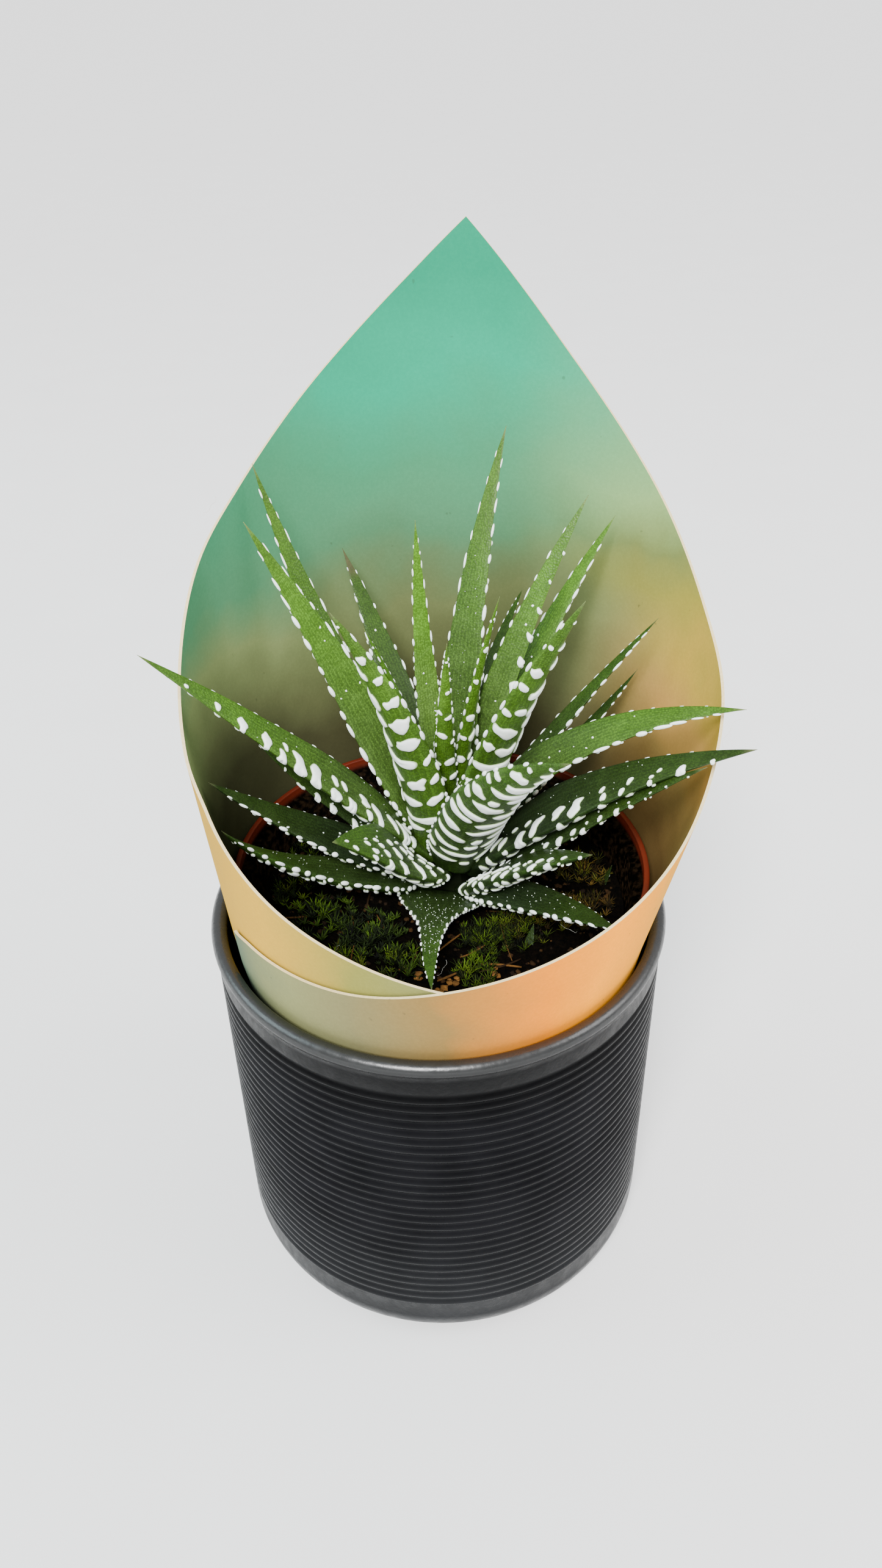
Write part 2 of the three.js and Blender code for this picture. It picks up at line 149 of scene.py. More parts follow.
class Leaf(NamedTuple):
    """One leaf. The lengths are in mm and the angles in degrees."""

    azimuth: float  # direction it leaves the stem, from +X
    rise: tuple  # slope at the base and at the tip
    length: float
    swing: float  # sideways turn along its length
    base: float  # height on the stem
    reach: float  # how far from the stem's axis it starts
    width: float
    roll: float  # turn of its face about its own line
    clasp: float  # widening of its base round the stem, or narrowing where below 0
    tone: float  # 0 deep green, 1 fresh green
    banded: tuple = (184, 356)  # strip of the section that has rows of white
    pitch: float = 2.8  # from one row to the next, low down
    bar: float = 3.4  # length of a bar
    stout: float = 1  # thickness of its bars
    teeth: tuple = (1, 1)  # size of the teeth on its left and right margin
    dots: int = 9  # small spots on its face
    dry: float = 0  # share of it that has dried at the tip
    root: tuple = PLANT


# From the outermost leaf to the innermost, as the solids are. In a section, 0 and 180 are the
# margins, 90 the middle of the face and 270 the keel.
LEAVES = (
    Leaf(-101, (19, 10), 43.2, 16, 94.5, 5.3, 6.3, 10, 2.4, 0.18, pitch=1.6, dots=140),
    Leaf(-41.5, (20, 19), 47, -16, 95.5, 5.3, 11.1, 6, -0.45, 0.03, (192, 340), 2.9, bar=3,
         dots=50, teeth=(0.45, 1.3)),
    Leaf(-40.5, (44, 29), 40, -1, 96, 5.3, 13.9, 3, -0.35, 0.1, (102, 345), 3.1, bar=2.4,
         stout=0.9, teeth=(0.4, 1)),
    Leaf(195.5, (9, 55), 54.3, 28, 97, 5.3, 12.5, 1, -0.45, 0.18, (204, 350), 3.2, bar=2.8,
         dots=30, teeth=(1.3, 0.4)),
    Leaf(191.5, (28, 42), 54.1, 5, 98, 5.3, 11.7, -15, -0.4, 0.02, (204, 350), 3.4, bar=3,
         teeth=(1.3, 0.4)),
    Leaf(186.5, (36, 52), 49.9, 1, 102, 4.8, 8.1, -33, -0.25, 0.1, (200, 420), 4.2, bar=3.5,
         teeth=(1, 0.5)),
    Leaf(-21, (45, 38), 65.4, -8, 95.5, 4.8, 8.8, 33, -0.45, 0.08, (120, 340), 3.4, bar=2.4,
         teeth=(0.5, 1)),
    Leaf(226, (51, 26), 34.5, -1, 101, 5.5, 16.9, -31, -0.25, 0.22, (190, 462), 4, bar=2.7,
         stout=0.75, teeth=(1, 0.5)),
    Leaf(-20, (51, 23), 73, -5, 100, 4.3, 13.7, 22, -0.35, 0.06, (98, 340), 5, bar=3.8, stout=1.1,
         dots=24, teeth=(0.45, 1)),
    Leaf(195, (49, 43), 78, 0, 104, 4.3, 10.4, -30, 0.1, 0.5, (200, 455), 4.3, bar=4.6, stout=1.5,
         dots=24, teeth=(1, 0.5)),
    Leaf(27, (31, 44), 54, 1, 102, 4.3, 6, 0, 0.2, 0.08, (180, 340), 3, teeth=(0.8, 1.2)),
    Leaf(-68.5, (64, 32), 71.1, 5, 104, 3.7, 15.4, -33, -0.25, 0.3, pitch=4.3, bar=6.5,
         stout=1.1),
    Leaf(20, (51, 42), 63, 0, 104.5, 3.7, 6.4, 0, 0.2, 0.15, (180, 340), 3.3, teeth=(0.9, 1.3)),
    Leaf(120, (58, 40), 66.5, 0, 106, 3.2, 9.7, -2, -0.25, 0.2, dry=0.1),
    Leaf(165.5, (68, 60), 82.4, 6, 102, 3.2, 10.6, -46, -0.25, 0.6, (190, 352), 4.2, bar=3,
         teeth=(1.3, 1.1)),
    Leaf(-12.5, (63, 5), 69.4, 2, 107.5, 3.7, 10.6, 31, -0.25, 0.45, (188, 340), 4.4, bar=3,
         teeth=(0.5, 1.35)),
    Leaf(44, (62, 39), 75, 0, 107.5, 3.2, 8, 10, 0.1, 0.7, (182, 345), 3.9, teeth=(0.9, 1.2)),
    Leaf(216, (83, 57), 65.7, 1, 107, 3.2, 14.9, 10, -0.25, 0.6, pitch=5.2, bar=6.2, stout=1.1),
    Leaf(-44.5, (74, 53), 78.2, -14, 107.5, 3.2, 13.4, 1, -0.25, 0.55, pitch=5, bar=5.8,
         stout=1.15),
    Leaf(144, (51, 68), 88, 0, 104.5, 4, 8.5, -15, 0, 0.5, (190, 354), 3.9),
    Leaf(65, (72, 16), 57, 2, 108.5, 3.2, 5.6, 0, 0.1, 0.1),
    Leaf(36, (75, 53), 74, -2, 109.5, 2.7, 8, 35, 0.1, 0.6, (118, 340), 4.8, bar=4,
         stout=1.3),
    Leaf(189, (79, 66), 47, -2, 113.5, 1.8, 6, -7, 0, 0.7, (184, 356), 5),
    Leaf(70, (87, 50), 84, -4, 109.5, 2.7, 9.6, 0, 0.1, 0.45, dots=40),
    Leaf(110, (57, 87), 62, -10, 112.5, 2.1, 6.2, 0, 0, 0.95, dots=2),
    Leaf(-40, (84, 72), 56, 0, 113, 1.6, 5.2, 0, 0, 0.8, pitch=6, bar=2.6),
    Leaf(265, (74, 68), 51, 13, 115, 1.4, 4.6, 0, 0, 0.8, pitch=6.5, bar=2.4),
    Leaf(190, (86, 90), 25, 0, 116, 1.4, 3.4, 0, 0, 0.9, pitch=6),
)

# Young offsets: place, direction and slope
OFFSETS = ((18, -17.5, 60, 50), (35, 4, 20, 55), (-14, -15, 172, 32))


# Shared shapes and numbers
def smooth(a, b, value):
    """0 below a, 1 above b, smooth between."""
    t = np.clip((np.asarray(value, float) - a) / (b - a), 0, 1)
    return t * t * (3 - 2 * t)


def through(points, x):
    """A smooth curve through [x, y] points with x rising, without overshoot."""
    px, py = np.array(points, float).T
    slope = np.diff(py) / np.diff(px)
    before, after = slope[:-1], slope[1:]
    same = before * after > 0
    inner = np.where(same, 2 * before * after / np.where(same, before + after, 1), 0)
    tangent = np.concatenate([slope[:1], inner, slope[-1:]])
    x = np.clip(x, px[0], px[-1])
    i = np.clip(np.searchsorted(px, x, side="right") - 1, 0, len(px) - 2)
    h = px[i + 1] - px[i]
    t = (x - px[i]) / h
    lift = t * t * (3 - 2 * t)
    start = h * tangent[i] * t * (1 - t) ** 2
    end = h * tangent[i + 1] * t * t * (1 - t)
    return py[i] + (py[i + 1] - py[i]) * lift + start - end


def unit(vectors):
    return vectors / np.maximum(np.linalg.norm(vectors, axis=-1, keepdims=True), 1e-12)


def circle(count):
    """Angles of points round a circle."""
    return 2 * np.pi * np.arange(count) / count


def level_rings(centre, radius, height, angles):
    """Rings of points round an upright axis, from radii and heights."""
    x = centre[0] + radius * np.cos(angles)
    y = centre[1] + radius * np.sin(angles)
    return np.stack([x, y, np.broadcast_to(height, x.shape)], -1)


def in_scene(name, data):
    made = bpy.data.objects.new(name, data)
    bpy.context.scene.collection.objects.link(made)
    return made


class Sculpt:
    """Collects surfaces in mm, each with a material number and values per point, for one object."""

    def __init__(self):
        self.points = []
        self.faces = []
        self.slots = []
        self.values = {}
        self.count = 0

    def add(self, points, faces, slot=0, **values):
        points = np.asarray(points, float).reshape(-1, 3)
        self.points.append(points)
        self.faces += [[self.count + i for i in face] for face in faces]
        self.slots += [slot] * len(faces)
        for name in set(self.values) | set(values):
            rows = self.values.setdefault(name, [np.zeros(self.count)])
            rows.append(np.broadcast_to(values.get(name, 0.0), len(points)))
        self.count += len(points)

    def add_rings(self, rings, slot=0, closed=True, caps=True, **values):
        """Joins rings of points, an array of ring, point round it and coordinate."""
        rings = np.asarray(rings, float)
        count, around, _ = rings.shape
        i = np.arange(count - 1)[:, None] * around
        j = np.arange(around if closed else around - 1)[None, :]
        k = (j + 1) % around
        quads = np.stack([i + j, i + k, i + around + k, i + around + j], -1).reshape(-1, 4)
        faces = quads.tolist()
        if caps:
            faces.append(list(range(around))[::-1])
            faces.append(list(range((count - 1) * around, count * around)))
        flat = {name: np.asarray(v, float).reshape(-1) for name, v in values.items()}
        self.add(rings, faces, slot, **flat)

    def piece(self, name, materials, slot, *nodes, flat=False):
        """Makes a piece of the body, with the nodes that it stands for. slot is not used."""
        mesh = bpy.data.meshes.new(name)
        points = np.concatenate(self.points) * MM
        mesh.from_pydata(points.tolist(), [], self.faces)
        for material in materials:
            mesh.materials.append(material)
        mesh.polygons.foreach_set("material_index", self.slots)
        mesh.polygons.foreach_set("use_smooth", [not flat] * len(self.faces))
        for key, rows in self.values.items():
            layer = mesh.attributes.new(key, "FLOAT", "POINT")
            layer.data.foreach_set("value", np.concatenate(rows).astype(np.float32))
        mesh.update()
        piece = in_scene(name, mesh)
        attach(piece, "root")
        if nodes:
            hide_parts(*nodes)


# Materials
class Finish:
    """A procedural material, with short calls for its nodes."""

    def __init__(self, name, roughness, specular=0.5):
        self.material = bpy.data.materials.new(name)
        self.material.use_nodes = True
        self.tree = self.material.node_tree
        self.shader = self.tree.nodes["Principled BSDF"]
        self.shader.inputs["Roughness"].default_value = roughness
        self.shader.inputs["Specular IOR Level"].default_value = specular
        self.place = self.node("ShaderNodeTexCoord").outputs["Object"]

    def node(self, kind, inputs=(), **settings):
        """A new node, with inputs by name or number."""
        made = self.tree.nodes.new(kind)
        for key, value in settings.items():
            setattr(made, key, value)
        for socket, value in dict(inputs).items():
            self.put(value, made.inputs[socket])
        return made

    def put(self, value, socket):
        """Links a socket, or sets a number or colour."""
        if isinstance(value, bpy.types.NodeSocket):
            self.tree.links.new(value, socket)
        elif isinstance(value, tuple) and len(value) == 3:
            socket.default_value = (*value, 1)
        else:
            socket.default_value = value

    def noise(self, size, detail=3, roughness=0.5):
        """Soft noise whose features are about size mm across."""
        inputs = {"Scale": 1 / (size * MM), "Detail": detail, "Roughness": roughness}
        return self.node("ShaderNodeTexNoise", {"Vector": self.place, **inputs}).outputs["Fac"]

    def cells(self, size):
        """Distance to the middle of small cells that are about size mm across."""
        inputs = {"Vector": self.place, "Scale": 1 / (size * MM)}
        return self.node("ShaderNodeTexVoronoi", inputs).outputs["Distance"]

    def maths(self, kind, *values):
        return self.node("ShaderNodeMath", dict(enumerate(values)), operation=kind).outputs[0]

    def lines(self, value, count):
        """A wave that rises and falls count times as value goes from -1 to 1, slightly uneven."""
        drifted = self.maths("MULTIPLY_ADD", self.noise(3), 0.25, value)
        return self.maths("SINE", self.maths("MULTIPLY", drifted, math.pi * count))

    def value(self, name):
        return self.node("ShaderNodeAttribute", attribute_name=name).outputs["Fac"]

    def ramp(self, value, low, high, start=0.0, end=1.0):
        """A number that runs from start to end as value runs from low to high."""
        inputs = {"Value": value, "From Min": low, "From Max": high, "To Min": start, "To Max": end}
        made = self.node("ShaderNodeMapRange", inputs, interpolation_type="SMOOTHSTEP")
        return made.outputs["Result"]

    def ramp_up(self, low, high, start=0.0, end=1.0):
        """A number that runs from start to end between two heights in mm."""
        split = self.node("ShaderNodeSeparateXYZ", {0: self.place})
        return self.ramp(split.outputs["Z"], low * MM, high * MM, start, end)

    def gradient(self, value, *stops):
        """A colour that runs through stops, each a value and a colour."""
        made = self.node("ShaderNodeValToRGB", {"Fac": value})
        marks = made.color_ramp.elements
        while len(marks) < len(stops):
            marks.new(1)
        for mark, (position, colour) in zip(marks, stops):
            mark.position = position
            mark.color = (*colour, 1)
        return made.outputs["Color"]

    def blend(self, factor, a, b):
        """A number between a and b."""
        inputs = {"Factor": factor, 2: a, 3: b}
        return self.node("ShaderNodeMix", inputs, data_type="FLOAT").outputs[0]

    def mix(self, factor, a, b, blend="MIX"):
        """A colour between a and b, or with blend ADD a with some of b added."""
        inputs = {"Factor": factor, 6: a, 7: b}
        return self.node("ShaderNodeMix", inputs, data_type="RGBA", blend_type=blend).outputs[2]

    def colour(self, value):
        self.put(value, self.shader.inputs["Base Color"])

    def rough(self, value):
        self.put(value, self.shader.inputs["Roughness"])

    def gloss(self, value):
        self.put(value, self.shader.inputs["Specular IOR Level"])

    def soft(self, weight, depth):
        """Light that goes some mm into the surface."""
        self.shader.inputs["Subsurface Weight"].default_value = weight
        self.shader.inputs["Subsurface Radius"].default_value = (1, 0.8, 0.5)
        self.shader.inputs["Subsurface Scale"].default_value = depth * MM

    def bump(self, *layers):
        """Relief from pairs of a height and its depth in mm."""
        normal = None
        for height, depth in layers:
            inputs = {"Strength": 1, "Distance": depth * MM, "Height": height}
            if normal:
                inputs["Normal"] = normal
            normal = self.node("ShaderNodeBump", inputs).outputs["Normal"]
        self.put(normal, self.shader.inputs["Normal"])


def leaf_skin():
    """Deep to fresh green by tone, with faint veins and specks, painted shade towards the base, and
    brown where it has dried.
    """
    finish = Finish("leaf_skin", 0.45, 0.18)
    tone = finish.value("tone")
    face = finish.value("face")
    along = finish.value("along")
    back = finish.mix(tone, (0.005, 0.012, 0.003), (0.037, 0.085, 0.006))
    front = finish.mix(tone, (0.0055, 0.0105, 0.0038), (0.045, 0.09, 0.013))
    fresh = finish.mix(tone, (0.006, 0.012, 0.002), (0.033, 0.086, 0.0045))
    front = finish.mix(finish.ramp(along, 0.3, 0.75), front, fresh)
    green = finish.mix(face, back, front)
    cloud = finish.ramp(finish.noise(6), 0.4, 0.7, 0, 0.3)
    grain = finish.cells(0.42)
    veins = finish.ramp(finish.lines(finish.value("across"), 9), 0.45, 1, 0, 0.35)
    specks = finish.ramp(grain, 0.75, 0.1, 0, 0.7)
    for lift in (finish.ramp(along, 0.3, 0.75, 0, 0.45), cloud, veins, specks):
        green = finish.mix(lift, green, green, blend="ADD")
    # Painted shade: the green darkens towards the leaf's base.
    green = finish.mix(finish.ramp(along, 0.3, 0, 0, 0.5), green, (0.002, 0.005, 0.001))
    tip = finish.ramp(along, 0.95, 1, 0, 0.4)
    green = finish.mix(tip, green, (0.2, 0.2, 0.1))
    brown = finish.mix(finish.noise(1.2), (0.02, 0.024, 0.008), (0.09, 0.085, 0.035))
    finish.colour(finish.mix(finish.value("dry"), green, brown))
    finish.rough(finish.ramp(finish.noise(3), 0.3, 0.7, 0.38, 0.52))
    finish.soft(0.06, 1)
    finish.bump((grain, 0.05), (finish.noise(1.6), 0.12))
    return finish.material


def tubercle_white():
    """Pearly white, dimmer low on the leaf as painted shade, and green where a spot sinks into the
    skin.
    """
    finish = Finish("tubercle_white", 0.45, 0.3)
    cloud = finish.ramp(finish.noise(0.8), 0.3, 0.7)
    pearl = finish.mix(cloud, (0.84, 0.92, 0.86), (0.93, 0.97, 0.93))
    # Painted shade: the white dims towards the leaf's base.
    shade = finish.ramp(finish.value("along"), 0.25, 0, 0, 0.45)
    pearl = finish.mix(shade, pearl, (0.3, 0.4, 0.26))
    finish.colour(finish.mix(finish.value("rim"), pearl, (0.25, 0.36, 0.14)))
    finish.soft(0.15, 0.5)
    finish.bump((finish.noise(0.5), 0.03))
    return finish.material


def pot_glaze():
    """Dark glaze with painted light and shade: darker high on the wall, greyer and lighter towards
    the foot, darker under the lip, and lighter over the lip as a painted highlight.
    """
    finish = Finish("pot_glaze", 0.3)
    cloud = finish.ramp(finish.noise(14), 0.3, 0.7)
    high = finish.mix(cloud, (0.0026, 0.0026, 0.0032), (0.005, 0.005, 0.006))
    low = finish.mix(cloud, (0.005, 0.0053, 0.006), (0.008, 0.0085, 0.0095))
    # Painted light and shade: darker high on the wall, greyer and lighter towards the foot.
    dark = finish.mix(finish.ramp_up(45, 8), high, low)
    # Painted shade: darker in the band under the lip.
    painted_shade_under_lip = finish.ramp_up(POT_HEIGHT - 21, POT_HEIGHT - 9, 0, 0.7)
    dark = finish.mix(painted_shade_under_lip, dark, (0.001, 0.001, 0.001))
    # Painted highlight: a lighter colour over the lip.
    lip = finish.ramp_up(POT_HEIGHT - 2.7, POT_HEIGHT - 0.2, 0, 0.8)
    finish.colour(finish.mix(lip, dark, (0.017, 0.018, 0.018)))
    finish.rough(finish.ramp(finish.noise(2.5, detail=5), 0.3, 0.7, 0.24, 0.36))
    finish.gloss(finish.blend(lip, finish.ramp_up(45, 8, 0.045, 0.1), 0.8))
    finish.bump((finish.noise(1.1), 0.05), (finish.noise(6), 0.1))
    return finish.material


def nursery_plastic():
    """Dusty red-brown on the rim; below it near black, painted shade on the inner wall flecked with
    peat crumbs.
    """
    finish = Finish("nursery_plastic", 0.48, 0.3)
    dust = finish.ramp(finish.noise(5, detail=6), 0.45, 0.75, 0, 0.4)
    colour = finish.mix(dust, (0.115, 0.013, 0.004), (0.04, 0.012, 0.007))
    # Below the rim band the wall is painted shade, near black with peat crumbs, and less glossy.
    rim_band = finish.ramp_up(NURSERY_TOP - 2.8, NURSERY_TOP - 0.6)
    crumbs = finish.ramp(finish.noise(1.3, detail=6), 0.42, 0.7)
    painted_shade_and_crumbs = finish.mix(crumbs, (0.0005, 0.0004, 0.0003), (0.014, 0.008, 0.004))
    finish.colour(finish.mix(rim_band, painted_shade_and_crumbs, colour))
    finish.gloss(finish.blend(rim_band, 0.02, 0.3))
    finish.bump((finish.noise(0.6), 0.03))
    return finish.material


def paper(name, colour_of):
    """Matte printed card, with faint fibres and specks, whose print colour_of works out."""
    finish = Finish(name, 0.8, 0.02)
    fibre = finish.noise(0.7, detail=6, roughness=0.7)
    print_colour = colour_of(finish)
    faded = finish.mix(finish.ramp(fibre, 0.35, 0.75, 0, 0.1), print_colour, print_colour,
                       blend="ADD")
    speck = finish.ramp(finish.noise(2.2, detail=2), 0.74, 0.78, 0, 0.35)
    finish.colour(finish.mix(speck, faded, (0.05, 0.05, 0.03)))
    finish.bump((fibre, 0.03), (finish.noise(25), 0.5))
    return finish.material


def drifted(finish, value, spread):
    """A value with soft noise added, so that a print's colours run into each other unevenly."""
    return finish.maths("ADD", value, finish.ramp(finish.noise(26), 0.2, 0.8, -spread, spread))


def inner_print(finish):
    """Teal above and olive below, ochre towards the right wing, with painted shade: darker near the
    bottom, and darker low in the middle.
    """
    turn = finish.value("turn")
    level = drifted(finish, finish.value("height"), 0.05)
    # The lowest stops of both runs, darker nearest the soil, are painted shade.
    left = finish.gradient(level, (0.08, (0.055, 0.056, 0.026)), (0.18, (0.11, 0.125, 0.052)),
                           (0.31, (0.19, 0.24, 0.093)), (0.45, (0.07, 0.215, 0.104)),
                           (0.6, (0.042, 0.215, 0.105)), (0.75, (0.001, 0.275, 0.148)),
                           (0.9, (0.001, 0.215, 0.112)))
    right = finish.gradient(level, (0.0, (0.13, 0.08, 0.027)), (0.13, (0.25, 0.165, 0.05)),
                            (0.24, (0.47, 0.26, 0.065)), (0.33, (0.45, 0.29, 0.043)),
                            (0.42, (0.29, 0.24, 0.036)), (0.5, (0.155, 0.185, 0.055)),
                            (0.6, (0.22, 0.34, 0.125)), (0.76, (0.09, 0.285, 0.133)))
    high = finish.ramp(turn, 0.54, 0.44)
    low = finish.ramp(turn, 0.48, 0.39)
    to_right = finish.blend(finish.ramp(level, 0.3, 0.5), low, high)
    # Painted shade: darker low down in the middle, at the back of the cone.
    middle = finish.maths("MULTIPLY", finish.ramp(turn, 0.4, 0.5),
                          finish.ramp(turn, 0.68, 0.58, 0, 0.5))
    shade = finish.maths("MULTIPLY", middle, finish.ramp(level, 0.56, 0.32))
    return finish.mix(shade, finish.mix(to_right, left, right), (0.03, 0.025, 0.01))


def outer_print(finish):
    """Blue grey to orange on the outer wing, tan to olive on the inner one, teal above."""
    turn = drifted(finish, finish.value("turn"), 0.012)
    front = finish.gradient(turn, (0.0, (0.07, 0.115, 0.09)), (0.022, (0.12, 0.15, 0.09)),
                            (0.05, (0.19, 0.195, 0.085)), (0.093, (0.17, 0.155, 0.07)),
                            (0.145, (0.23, 0.143, 0.043)), (0.199, (0.76, 0.22, 0.001)),
                            (0.237, (0.95, 0.32, 0.001)), (0.332, (0.5, 0.3, 0.05)),
                            (0.607, (0.25, 0.24, 0.07)), (0.804, (0.45, 0.26, 0.03)),
                            (0.85, (0.5, 0.29, 0.03)), (0.909, (0.21, 0.2, 0.045)),
                            (1.0, (0.17, 0.19, 0.08)))
    back = finish.ramp(finish.value("height"), 0.25, 0.7)
    return finish.mix(back, front, (0.05, 0.3, 0.15))


def edge_colour(finish):
    return finish.mix(finish.noise(0.4), (0.55, 0.42, 0.2), (0.75, 0.62, 0.36))


def peat():
    finish = Finish("peat", 0.9, 0.04)
    crumb = finish.noise(1.4, detail=8, roughness=0.75)
    shade = finish.ramp(crumb, 0.35, 0.7)
    finish.colour(finish.mix(shade, (0.0003, 0.0003, 0.0002), (0.005, 0.003, 0.0013)))
    finish.bump((crumb, 0.9), (finish.noise(0.4, detail=4), 0.3))
    return finish.material


def moss_green():
    """Near black at a blade's foot as painted shade among the blades, and green to gold at its tip.
    """
    finish = Finish("moss_green", 0.7, 0.12)
    tone = finish.value("tone")
    tips = finish.gradient(finish.value("gold"), (0.05, (0.017, 0.034, 0.005)),
                           (0.35, (0.08, 0.155, 0.008)), (0.9, (0.11, 0.065, 0.01)))
    finish.colour(finish.mix(tone, (0.0006, 0.0008, 0.0002), tips))
    return finish.material


def bark():
    """Dark crumbs to fresh pale splinters, by tone."""
    finish = Finish("bark", 0.85, 0.1)
    rough = finish.noise(0.8, detail=6, roughness=0.7)
    fresh = finish.mix(finish.value("tone"), (0.004, 0.0025, 0.0014), (0.2, 0.09, 0.02))
    finish.colour(finish.mix(finish.ramp(rough, 0.35, 0.7, 0, 0.5), fresh, (0.02, 0.01, 0.004)))
    finish.bump((rough, 0.3))
    return finish.material


def hair_fibre():
    finish = Finish("hair_fibre", 0.5, 0.3)
    finish.colour(finish.mix(finish.noise(2), (0.6, 0.58, 0.5), (0.85, 0.84, 0.8)))
    return finish.material


def stem_green():
    finish = Finish("stem_green", 0.6, 0.2)
    finish.colour(finish.mix(finish.noise(2), (0.003, 0.005, 0.0015), (0.01, 0.016, 0.004)))
    return finish.material


# Turned pots
def arc(cx, cz, rx, rz, start, end, steps):
    """Points of an ellipse, as radius and height."""
    a = np.radians(np.linspace(start, end, steps))
    return list(zip(cx + rx * np.cos(a), cz + rz * np.sin(a)))


def turned(sculpt, outline, sides, centre=(0, 0), wobble=0.0):
    """A body of revolution from radius and height, closed by small caps on the axis."""
    radius, height = np.array(outline, float).T
    a = circle(sides)
    waver = 1 + wobble * (np.sin(2 * a + 1) + 0.6 * np.sin(3 * a + 2)) / POT_RADIUS
    sculpt.add_rings(level_rings(centre, radius[:, None] * waver, height[:, None], a))


def ceramic_pot(glaze):
    """Fine rounded ribs, each a raised cosine, between the plain foot and the round lip."""
    outline = [(AXIS_CAP, 0), (FOOT_RADIUS - 4, 0)]
    outline += arc(FOOT_RADIUS, FOOT_ROUNDING_HEIGHT, POT_WALL_RADIUS - FOOT_RADIUS,
                   FOOT_ROUNDING_HEIGHT, -90, 0, 14)
    low = TOP_RIB_Z - (RIB_COUNT - 0.5) * RIB_PITCH
    for step in range(RIB_COUNT * RIB_POINTS + 1):
        phase = step / RIB_POINTS
        groove = (0.5 + 0.5 * math.cos(2 * math.pi * phase)) ** 1.6
        outline.append((POT_WALL_RADIUS - RIB_DEPTH * groove, low + RIB_PITCH * phase))
    outline.append((POT_WALL_RADIUS, TOP_RIB_Z + RIB_PITCH))
    neck = POT_HEIGHT - 2 * LIP_RADIUS
    outline.append((POT_WALL_RADIUS - 0.2, neck - 1.4))
    outline += arc(POT_RADIUS - LIP_RADIUS, POT_HEIGHT - LIP_RADIUS, LIP_RADIUS, LIP_RADIUS,
                   -40, 180, 16)
    outline += [(POT_BORE_RADIUS + 0.1, neck - 0.6), (POT_BORE_RADIUS, neck - POT_THROAT)]
    for inwards, up in ((0, 1), (0.3, 0.3), (1, 0)):
        outline.append((POT_BORE_RADIUS - inwards * POT_FLOOR_CHAMFER,
                        POT_FLOOR + up * POT_FLOOR_CHAMFER))
    outline.append((AXIS_CAP, POT_FLOOR))
    sculpt = Sculpt()
    turned(sculpt, outline, POT_SIDES, wobble=0.06)
    sculpt.piece("ceramic_pot_glazed", [glaze], "glaze", "ceramic_pot")


def nursery_radius(z):
    """Outer radius of the tapered wall under the rim."""
    neck = NURSERY_TOP - NURSERY_RIM_HEIGHT
    along = (z - NURSERY_BOTTOM) / (neck - NURSERY_BOTTOM)
    return NURSERY_FOOT_RADIUS + (NURSERY_NECK_RADIUS - NURSERY_FOOT_RADIUS) * along


def nursery_pot(plastic):
    neck = NURSERY_TOP - NURSERY_RIM_HEIGHT
    rim_inner = NURSERY_RIM_RADIUS - NURSERY_RIM_WALL
    floor = NURSERY_BOTTOM + NURSERY_WALL
    roll = 0.5
    outline = [(AXIS_CAP, NURSERY_BOTTOM), (NURSERY_FOOT_RADIUS - 1, NURSERY_BOTTOM)]
    outline += [(NURSERY_FOOT_RADIUS, NURSERY_BOTTOM + 1), (NURSERY_NECK_RADIUS, neck - 0.3)]
    outline += [(NURSERY_NECK_RADIUS + 0.3, neck), (NURSERY_RIM_RADIUS - 0.2, neck + 0.1)]
    outline += [(NURSERY_RIM_RADIUS, neck + 0.4)]
    outline += arc(NURSERY_RIM_RADIUS - roll, NURSERY_TOP - roll, roll, roll, 0, 90, 5)
    outline += arc(rim_inner + 0.3, NURSERY_TOP - 0.3, 0.3, 0.3, 90, 180, 4)
    outline += [(rim_inner, neck + 1.2), (NURSERY_NECK_RADIUS - NURSERY_WALL, neck + 0.6)]
    outline += [(nursery_radius(floor) - NURSERY_WALL, floor), (AXIS_CAP, floor)]
    sculpt = Sculpt()
    turned(sculpt, outline, NURSERY_SIDES, NURSERY_CENTRE)
    sculpt.piece("nursery_pot_plastic", [plastic], "nursery_plastic", "nursery_pot")


# Card sleeve
def card_face(turn, z, inset):
    """Points of the cone at angles in degrees and heights, inset from its outer face."""
    inner = CARD_WING_STEP * smooth(INNER_WING_FROM, INNER_WING_FULL, turn)
    radius = CARD_RADIUS + CARD_FLARE * (z - CARD_REFERENCE_Z) - inner - inset
    lean = CARD_LEAN * (np.maximum(z, POT_HEIGHT) - CARD_REFERENCE_Z)
    return level_rings((CARD_CENTRE[0] + lean, CARD_CENTRE[1]), radius, z, np.radians(turn))


